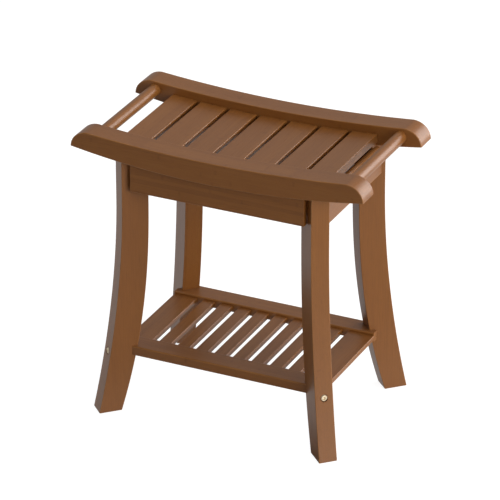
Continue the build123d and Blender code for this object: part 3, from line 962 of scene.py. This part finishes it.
@dataclass
class Seat:
    """Two rails, seven slats and two rods, with the hidden cleats that carry the slats.

    Attributes:
        length: length of a rail.
        depth: distance over both rails.
        thick: thickness of a rail.
        top_mid: rail top at mid bench.
        dip: how far the top rises to its ends.
        mid_width: height of a rail at mid bench.
        tip_drop: the tip's distance below the highest point.
        scroll: length of the rounded end.
        ease: rounding of a rail's edges.
        rod_radius: radius of a rod.
        rod_inset: rod axis from the rail's end.
        rod_drop: rod axis below the rail's highest point.
        rod_socket: depth of a rod's socket.
        slats: number of slats.
        pitch: their spacing along the arc.
        gap: gap between two slats.
        shift: how far the row stands to the right.
        slat_thick: their thickness.
        slat_drop: slat top below the rail top.
        slat_ease: rounding of their upper edges.
        slat_fit: clearance at a slat's end.
        hand_gap: gap between a rod and the last slat.
    """

    length: float = 500.0
    depth: float = 265.4
    thick: float = 39.7
    top_mid: float = 467.0
    dip: float = 10.5
    mid_width: float = 38.0
    tip_drop: float = 27.4
    scroll: float = 30.0
    ease: float = 1.6
    rod_radius: float = 10.0
    rod_inset: float = 35.6
    rod_drop: float = 15.4
    rod_socket: float = 14.0
    slats: int = 7
    pitch: float = 52.85
    gap: float = 6.5
    shift: float = -4.1
    slat_thick: float = 13.0
    slat_drop: float = 13.9
    slat_ease: float = 1.8
    slat_fit: float = 0.25
    hand_gap: float = 25.5

    @property
    def half(self) -> float:
        """Half the rail's length."""
        return self.length / 2

    @property
    def top_end(self) -> float:
        """Height of the rail's highest point."""
        return self.top_mid + self.dip

    @property
    def tip(self) -> float:
        """Height of the rail's tip."""
        return self.top_end - self.tip_drop

    @property
    def rail_inner(self) -> float:
        """Distance of a rail's inner face from mid bench."""
        return self.depth / 2 - self.thick

    def over(self, x: float) -> float:
        """Height of the rail's upper edge."""
        return arc_height(x, self.half - self.scroll, self.top_mid, self.dip)

    def under(self, x: float) -> float:
        """Height of the rail's lower edge."""
        low = self.top_mid - self.mid_width
        return arc_height(x, self.half, low, self.tip - low)

    def outline(self) -> list[tuple[float, float]]:
        """The rail's outline in X and Z: the dip, both rounded ends and the bowed lower edge."""
        reach = self.half - self.scroll
        steps, turns = 40, 18
        line = []
        for k in range(steps + 1):
            x = reach * (2 * k / steps - 1)
            line.append((x, self.over(x)))
        for k in range(1, turns + 1):
            a = math.pi / 2 * (1 - k / turns)
            line.append((reach + self.scroll * math.cos(a), self.tip + self.tip_drop * math.sin(a)))
        for k in range(1, steps + 1):
            x = self.half * (1 - 2 * k / steps)
            line.append((x, self.under(x)))
        for k in range(1, turns):
            a = math.pi / 2 * (1 + k / turns)
            a = math.pi - (a - math.pi / 2)
            line.append((-reach + self.scroll * math.cos(a), self.tip + self.tip_drop * math.sin(a)))
        return line

    def build_rails(self) -> None:
        """Build and dress the two rails, with sockets for the rods."""
        for side, name in ((-1, "front_rail"), (1, "rear_rail")):
            rings = []
            for y in (self.rail_inner, self.depth / 2):
                rings.append([(x, side * y, z) for x, z in self.outline()])
            rail = loft(f"{name}_wood", rings)
            ease(rail, self.ease, lambda at, way: 0.3 if abs(way.y) > 0.5 else 1.0, segments=5)
            for end in (-1, 1):
                x = end * (self.half - self.rod_inset)
                mouth = self.rail_inner - self.rod_socket
                socket = self.round_bar("cutter", x, side * mouth, side * (self.rail_inner + self.rod_socket), 0.1)
                cut(rail, socket)
            smooth(rail)
            board = Board((1, 0, 0), (0, 0, 1), (0, side * self.depth / 2, self.top_mid), 40.0 + side)
            seat_piece(rail, BAMBOO.material(f"bamboo_{name}", board), [name])

    def round_bar(self, name: str, x: float, y0: float, y1: float, more: float = 0.0) -> bpy.types.Object:
        """A round bar along Y on the rods' height."""
        sides = 64
        z = self.top_end - self.rod_drop
        radius = self.rod_radius + more
        rings = []
        for y in (y0, y1):
            turns = [2 * math.pi * k / sides for k in range(sides)]
            rings.append([(x + radius * math.cos(a), y, z + radius * math.sin(a)) for a in turns])
        return loft(name, rings)

    def build_rods(self) -> None:
        """Build and dress the two handle rods."""
        for end, name in ((-1, "handle_rod_left"), (1, "handle_rod_right")):
            reach = self.rail_inner + self.rod_socket - 0.2
            x = end * (self.half - self.rod_inset)
            rod = self.round_bar(f"{name}_wood", x, -reach, reach)
            ease(rod, 1.0, lambda at, way: 1.0, segments=2)
            smooth(rod)
            board = Board((0, 1, 0), (1, 0, 0), (x, 0, self.top_end - self.rod_drop), 60.0 + end)
            seat_piece(rod, BAMBOO.material(f"bamboo_{name}", board), [name])

    def build_slats(self) -> None:
        """Build and dress the slats round the seat's arc."""
        reach = self.half - self.scroll
        radius = (reach**2 + self.dip**2) / (2 * self.dip)
        last = self.half - self.rod_inset - self.rod_radius - self.hand_gap
        end_width = last - (self.slats - 2) * self.pitch / 2 - self.gap / 2
        board = Board((0, 1, 0), (1, 0, 0), (0, 0, self.top_mid - self.slat_drop), 70.0)
        material = BAMBOO.material("bamboo_seat_slats", board)
        row = new_object("seat_slats", [(0, 0, 0)], [])
        values = {
            "Count": float(self.slats),
            "Pitch": self.pitch * MM,
            "Shift": self.shift * MM,
            "Radius": (radius + self.slat_drop) * MM,
            "Centre": (self.top_mid + radius) * MM,
            "Width": (self.pitch - self.gap) * MM,
            "First": end_width * MM,
            "Last": end_width * MM,
            "Length": 2 * (self.rail_inner - self.slat_fit) * MM,
            "Thick": self.slat_thick * MM,
            "Ease": (self.slat_ease - 0.5) * MM,
            "Material": material,
        }
        grow(row, arched_row(), values)
        smooth(row)
        nodes = [f"seat_slat_{k + 1}" for k in range(self.slats)]
        seat_piece(row, material, nodes)

    def build(self) -> None:
        """Build and dress the seat."""
        self.build_rails()
        self.build_rods()
        self.build_slats()
        for side in ("front", "rear"):
            low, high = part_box(f"seat_cleat_{side}")
            middle = tuple((low + high) / (2 * MM))
            board = Board((1, 0, 0), (0, 0, 1), middle, 80.0)
            dress(f"seat_cleat_{side}", BAMBOO.material(f"bamboo_cleat_{side}", board))


@dataclass
class Aprons:
    """Four aprons square between the legs, and the corner blocks behind them.

    Attributes:
        front: outer face of the front apron from mid bench.
        side: outer face of a side apron from mid bench.
        thick: thickness of an apron.
        bottom: lower edge.
        side_top: upper edge of the side aprons.
        ease: rounding of the long edges.
        crown: rounding of a side apron's upper outer edge.
    """

    front: float = 127.0
    side: float = 179.0
    thick: float = 11.0
    bottom: float = 388.4
    side_top: float = 437.0
    ease: float = 1.0
    crown: float = 9.0

    def build(self, legs: Legs, seat: Seat) -> None:
        """Build and dress the aprons and the blocks.

        Args:
            legs: the legs that the aprons meet.
            seat: the seat above them.
        """
        slack = legs.thick / 2 / DIAGONAL + 0.1
        offset = legs.x - legs.y
        half = self.front - self.thick + offset - slack
        for side, name in ((-1, "front_apron"), (1, "rear_apron")):
            steps = 24
            over = [half * (1 - 2 * k / steps) for k in range(steps + 1)]
            line = [(-half, self.bottom), (half, self.bottom)] + [(x, seat.under(x)) for x in over]
            rings = [[(x, side * y, z) for x, z in line] for y in (self.front - self.thick, self.front)]
            apron = loft(f"{name}_wood", rings)
            ease(apron, self.ease, lambda at, way: 1.0 if at.z < self.bottom + 0.1 else 0.2)
            smooth(apron)
            board = Board((1, 0, 0), (0, 0, 1), (0, side * self.front, self.bottom), 90.0 + side)
            seat_piece(apron, BAMBOO.material(f"bamboo_{name}", board), [name])
        half = self.side - self.thick - offset - slack
        for end, name in ((-1, "left_apron"), (1, "right_apron")):
            line = [(-half, self.bottom), (half, self.bottom), (half, self.side_top), (-half, self.side_top)]
            rings = []
            for x in (self.side - self.thick, self.side):
                mitre = x - self.side + self.thick
                rings.append([(end * x, y + math.copysign(mitre, y), z) for y, z in line])
            apron = loft(f"{name}_wood", rings)

            def share(at: Vector, way: Vector) -> float:
                """The upper outer edge is well rounded, the rest only broken."""
                if abs(way.y) < 0.9:
                    return 0.2 * self.ease / self.crown
                return 1.0 if at.z > self.side_top - 1 and abs(at.x) > self.side - 1 else self.ease / self.crown

            ease(apron, self.crown, share)
            smooth(apron)
            board = Board((0, 1, 0), (0, 0, 1), (end * self.side, 0, self.bottom), 95.0 + end)
            seat_piece(apron, BAMBOO.material(f"bamboo_{name}", board), [name])
        for number, corner in enumerate(Corner):
            node = f"corner_block_{corner.label}"
            low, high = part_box(node)
            sx, sy = corner.value
            board = Board((sx, -sy, 0), (0, 0, 1), tuple((low + high) / (2 * MM)), 100.0 + number)
            dress(node, BAMBOO.material(f"bamboo_{node}", board))


@dataclass
class Shelf:
    """Ten slats between two rails whose corners are cut to seat in the legs.

    Attributes:
        bottom: underside of the rails.
        rail_thick: thickness of a rail.
        rail_width: width of a rail.
        reach_x: end of the shelf beyond the leg line.
        reach_y: front of the shelf beyond the leg line.
        slats: number of slats.
        pitch: their spacing.
        gap: gap between two slats.
        slat_thick: their thickness.
        slat_drop: their top below the rails' top.
        shift: how far the row stands to the right.
        rail_ease: rounding of the rails' upper edges.
        slat_ease: rounding of the slats' upper edges.
    """

    bottom: float = 96.9
    rail_thick: float = 15.7
    rail_width: float = 36.1
    reach_x: float = 20.7
    reach_y: float = 16.8
    slats: int = 10
    pitch: float = 32.45
    gap: float = 11.2
    slat_thick: float = 8.0
    slat_drop: float = 4.6
    shift: float = -1.75
    rail_ease: float = 2.0
    slat_ease: float = 1.0

    @property
    def top(self) -> float:
        """Top of the shelf rails."""
        return self.bottom + self.rail_thick

    def build(self, legs: Legs) -> None:
        """Build and dress the shelf.

        Args:
            legs: the legs that carry it.
        """
        end = legs.x + self.reach_x
        outer = legs.y + self.reach_y
        inner = outer - self.rail_width
        notch = legs.inner((self.bottom + self.top) / 2) + legs.notch_depth
        cut_by = end + outer - (legs.x + legs.y + notch / DIAGONAL)
        for side, name in ((-1, "shelf_front_rail"), (1, "shelf_rear_rail")):
            line = [
                (-end, inner),
                (end, inner),
                (end, outer - cut_by),
                (end - cut_by, outer),
                (-end + cut_by, outer),
                (-end, outer - cut_by),
            ]
            rings = [[(x, side * y, z) for x, y in line] for z in (self.bottom, self.top)]
            rail = loft(f"{name}_wood", rings)

            def share(at: Vector, way: Vector) -> float:
                """Upper long edges are well rounded, the rest only broken."""
                return 1.0 if at.z > self.top - 1 and abs(way.x) > 0.9 else 0.2

            ease(rail, self.rail_ease, share)
            smooth(rail)
            board = Board((1, 0, 0), (0, 1, 0), (0, side * outer, self.top), 110.0 + side)
            seat_piece(rail, BAMBOO.material(f"bamboo_{name}", board), [name])
        edge = (self.slats - 2) * self.pitch / 2 + self.gap / 2
        board = Board((0, 1, 0), (1, 0, 0), (self.shift, 0, self.bottom), 120.0)
        material = BAMBOO.material("bamboo_shelf_slats", board)
        row = new_object("shelf_slats", [(0, 0, 0)], [])
        values = {
            "Count": float(self.slats),
            "Pitch": self.pitch * MM,
            "Shift": self.shift * MM,
            "Top": (self.top - self.slat_drop) * MM,
            "Width": (self.pitch - self.gap) * MM,
            "First": (end + self.shift - edge) * MM,
            "Last": (end - self.shift - edge) * MM,
            "Length": 2 * (inner - 0.1) * MM,
            "Thick": self.slat_thick * MM,
            "Ease": (self.slat_ease - 0.5) * MM,
            "Material": material,
        }
        grow(row, level_row(), values)
        smooth(row)
        nodes = [f"shelf_slat_{k + 1}" for k in range(self.slats)]
        seat_piece(row, material, nodes)


@dataclass
class Hardware:
    """Bolts, inserts, washers, screws and dowels.

    Attributes:
        head_radius: radius of a bolt's button head.
        head_height: its height.
        crown_radius: radius of the flat round the socket.
        rim: height of the head's straight edge.
        shank_radius: radius of the shank.
        shank_length: its length.
        socket_across: width of the hexagon socket over its flats.
        socket_depth: its depth.
        sides: steps round a bolt, a multiple of 6.
    """

    head_radius: float = 5.2
    head_height: float = 3.3
    crown_radius: float = 3.9
    rim: float = 0.6
    shank_radius: float = 2.95
    shank_length: float = 45.0
    socket_across: float = 4.0
    socket_depth: float = 2.0
    sides: int = 48

    def ring(self, radius: float, z: float, hexagon: bool = False) -> list[Point]:
        """A ring of points round a bolt's axis, on a circle or on a hexagon."""
        points = []
        for k in range(self.sides):
            a = 2 * math.pi * k / self.sides
            off = (a % (math.pi / 3)) - math.pi / 6
            r = radius / math.cos(off) if hexagon else radius
            points.append((r * math.cos(a), r * math.sin(a), z))
        return points

    def bolt(self) -> bpy.types.Object:
        """One button head bolt, its head below height 0 and its shank upwards.

        Returns:
            The bolt.
        """
        flat = self.socket_across / 2
        crown = -self.head_height
        rings = [
            self.ring(flat * 0.3, crown + self.socket_depth + 0.4),
            self.ring(flat - 0.05, crown + self.socket_depth, hexagon=True),
            self.ring(flat, crown + 0.2, hexagon=True),
            self.ring(flat + 0.12, crown, hexagon=True),
        ]
        steps = 8
        for k in range(steps + 1):
            a = math.pi / 2 * k / steps
            wide = self.crown_radius + (self.head_radius - self.crown_radius) * math.sin(a)
            rings.append(self.ring(wide, crown + (self.head_height - self.rim) * (1 - math.cos(a))))
        rings += [
            self.ring(self.head_radius, -0.1),
            self.ring(self.head_radius - 0.1, 0.0),
            self.ring(self.shank_radius, 0.0),
            self.ring(self.shank_radius, self.shank_length - 0.8),
            self.ring(self.shank_radius - 0.8, self.shank_length),
        ]
        bolt = loft("bolt", rings)
        smooth(bolt, 35.0)
        return bolt

    def scatter(
        self, name: str, piece: bpy.types.Object, spots: Sequence[tuple[Point, Point]], finish: PlatedMetal
    ) -> None:
        """Set copies of a fastener in their places.

        Args:
            name: the node that the copies stand for.
            piece: the fastener, made along Z.
            spots: place and direction of each copy.
            finish: its finish.
        """
        rows = new_object(f"{name}_metal", [at for at, _ in spots], [])
        way = rows.data.attributes.new("way", "FLOAT_VECTOR", "POINT")
        way.data.foreach_set("vector", [c for _, direction in spots for c in direction])
        material = finish.material()
        grow(rows, fastener_tree(), {"Piece": piece, "Material": material})
        seat_piece(rows, material, [name])

    def build(self, legs: Legs) -> None:
        """Build and dress the hardware.

        Args:
            legs: the legs that hold the bolts.
        """
        bolt = self.bolt()
        seat = legs.outer(legs.bolt_z) - legs.recess_depth
        spots = []
        for corner in Corner:
            sx, sy = corner.value
            spots.append((legs.spot(corner, seat, 0, legs.bolt_z), (-sx, -sy, 0)))
        self.scatter("shelf_bolts", bolt, spots, PALE_BRASS_AND_PAINTED_REFLECTION)
        bpy.data.objects.remove(bolt)
        pale = PALE_BRASS_AND_PAINTED_REFLECTION.material()
        turned = TURNED_BRASS.material()
        zinc = ZINC.material()
        dress("corner_bolts", pale)
        dress("corner_washers", zinc)
        for node in ("leg_inserts", "shelf_inserts"):
            dress(node, turned)
        for node in ("seat_slat_screws", "seat_cleat_screws", "rail_screws", "apron_screws"):
            dress(node, zinc)
        board = Board((0, 0, 1), (1, 0, 0), (0, 0, 0), 130.0)
        dowel = StainedBamboo("plain_beech", "#8F6A44", "#B8946A", "#CDB189", "#D6BE9C", sheen=0.6)
        dress("leg_dowels", dowel.material("beech_dowels", board))


# The studio


@dataclass
class Studio:
    """Pale floor, soft lights and the camera.

    Attributes:
        azimuth: the camera's angle round the bench, in degrees.
        elevation: its angle above the horizon.
        target: the point at the middle of the picture, in metres.
        distance: from that point, in metres.
        lens: focal length for a 36 mm sensor.
        floor_half: half the floor's width, in metres.
        floor_glow: share of white that the floor gives by itself.
        floor_shade: share that follows the light, and so keeps the shadow.
        surround: strength of the light from all round.
    """

    azimuth: float = 25.177
    elevation: float = 26.156
    target: Point = (0.00654, -0.01796, 0.27114)
    distance: float = 6.3003
    lens: float = 286.77
    floor_half: float = 8.0
    floor_glow: float = 0.93
    floor_shade: float = 0.25
    surround: float = 0.02

    def camera(self) -> None:
        """Set the camera at the photograph's angle."""
        turn, rise = math.radians(self.azimuth), math.radians(self.elevation)
        back = Vector(
            (math.sin(turn) * math.cos(rise), -math.cos(turn) * math.cos(rise), math.sin(rise))
        )
        data = bpy.data.cameras.new("camera")
        data.lens = self.lens
        data.sensor_width = 36.0
        made = bpy.data.objects.new("camera", data)
        made.location = Vector(self.target) + back * self.distance
        made.rotation_euler = (math.pi / 2 - rise, 0.0, turn)
        bpy.context.scene.collection.objects.link(made)
        bpy.context.scene.camera = made

    def seen(self, tree: bpy.types.NodeTree) -> tuple[Socket, Socket]:
        """Whether a ray comes from the camera or through glass, and whether it is a reflection."""
        rays = add_node(tree, "ShaderNodeLightPath").node
        clear = add_node(
            tree,
            "ShaderNodeMath",
            {0: rays.outputs["Is Camera Ray"], 1: rays.outputs["Is Transmission Ray"]},
            operation="MAXIMUM",
        )
        return clear, rays.outputs["Is Glossy Ray"]

    def floor(self) -> None:
        """Lay a pale floor that looks white and keeps a soft shadow."""
        half = self.floor_half / MM
        ground = new_object("floor", [(-half, -half, 0), (half, -half, 0), (half, half, 0), (-half, half, 0)], [[0, 1, 2, 3]])
        made = bpy.data.materials.new("pale_floor")
        made.use_nodes = True
        tree = made.node_tree
        tree.nodes.clear()
        clear, glossy = self.seen(tree)
        at = add_node(tree, "ShaderNodeTexCoord", output="Object")
        away = add_node(
            tree,
            "ShaderNodeVectorMath",
            {0: at, 1: (-0.5, 0.87, 0.0)},
            output="Value",
            operation="DOT_PRODUCT",
        )
        behind = add_node(
            tree,
            "ShaderNodeMapRange",
            {"Value": away, "From Min": -0.22, "From Max": -0.04, "To Min": 0.05, "To Max": 0.58},
            interpolation_type="SMOOTHSTEP",
        )
        glow = add_node(tree, "ShaderNodeMath", {0: clear, 1: self.floor_glow}, operation="MULTIPLY")
        gloss = add_node(tree, "ShaderNodeMath", {0: glossy, 1: behind}, operation="MULTIPLY")
        glow = add_node(tree, "ShaderNodeMath", {0: glow, 1: gloss}, operation="ADD")
        light = add_node(tree, "ShaderNodeEmission", {"Color": (1, 1, 1, 1), "Strength": glow})
        seen = add_node(tree, "ShaderNodeMath", {0: clear, 1: glossy}, operation="MAXIMUM")
        tint = add_node(
            tree,
            "ShaderNodeMix",
            {0: seen, 6: (0.55, 0.55, 0.55, 1), 7: (self.floor_shade,) * 3 + (1,)},
            output=2,
            data_type="RGBA",
        )
        matt = add_node(tree, "ShaderNodeBsdfDiffuse", {"Color": tint})
        both = add_node(tree, "ShaderNodeAddShader", {0: light, 1: matt})
        add_node(tree, "ShaderNodeOutputMaterial", {"Surface": both})
        ground.data.materials.append(made)

    def world(self) -> None:
        """Surround the bench with soft light, white where it is seen, darker on the camera's side."""
        made = bpy.data.worlds.new("studio")
        bpy.context.scene.world = made
        made.use_nodes = True
        tree = made.node_tree
        tree.nodes.clear()
        clear, glossy = self.seen(tree)
        way = add_node(tree, "ShaderNodeTexCoord", output="Generated")
        way = add_node(tree, "ShaderNodeSeparateXYZ", {0: way}).node
        behind = add_node(
            tree,
            "ShaderNodeMapRange",
            {"Value": way.outputs["Y"], "From Min": -0.5, "From Max": 0.3, "To Min": 0.05, "To Max": 0.48},
            interpolation_type="SMOOTHSTEP",
        )
        level = add_node(
            tree,
            "ShaderNodeMix",
            {0: glossy, 2: self.surround, 3: behind},
            data_type="FLOAT",
        )
        level = add_node(tree, "ShaderNodeMix", {0: clear, 2: level, 3: 1.0}, data_type="FLOAT")
        light = add_node(tree, "ShaderNodeBackground", {"Color": (1, 1, 1, 1), "Strength": level})
        add_node(tree, "ShaderNodeOutputWorld", {"Surface": light})

    def lamp(self, name: str, spot: Point, size: float, watts: float) -> None:
        """Hang a square soft light that points at the bench.

        Args:
            name: its name.
            spot: its place, in metres.
            size: its width, in metres.
            watts: its power.
        """
        data = bpy.data.lights.new(name, "AREA")
        data.shape = "SQUARE"
        data.size = size
        data.energy = watts
        made = bpy.data.objects.new(name, data)
        made.location = spot
        made.rotation_euler = (Vector(self.target) - Vector(spot)).to_track_quat("-Z", "Y").to_euler()
        bpy.context.scene.collection.objects.link(made)

    def build(self) -> None:
        """Build the studio."""
        self.camera()
        self.floor()
        self.world()
        self.lamp("right_low", (6.0, -2.5, 1.9), 4.8, 332.0)
        self.lamp("right_mid", (3.2, 0.4, 1.1), 2.4, 37.0)
        self.lamp("rear_right", (1.9, 2.7, 1.0), 2.3, 72.0)
        self.lamp("left", (-2.8, -0.6, 1.6), 2.2, 19.0)
        self.lamp("front", (0.8, -3.2, 1.6), 2.2, 12.0)
        self.lamp("top", (0.2, 0.3, 3.2), 3.0, 37.0)
        bpy.context.scene.view_settings.view_transform = "Standard"


def main() -> None:
    """Build the bench and the studio."""
    logging.basicConfig(level=logging.INFO, format="%(message)s")
    seat = Seat()
    legs = Legs()
    shelf = Shelf()
    seat.build()
    legs.build(seat.under, shelf.bottom, shelf.top)
    Aprons().build(legs, seat)
    shelf.build(legs)
    Hardware().build(legs)
    Studio().build()


if __name__ == "__main__":
    main()
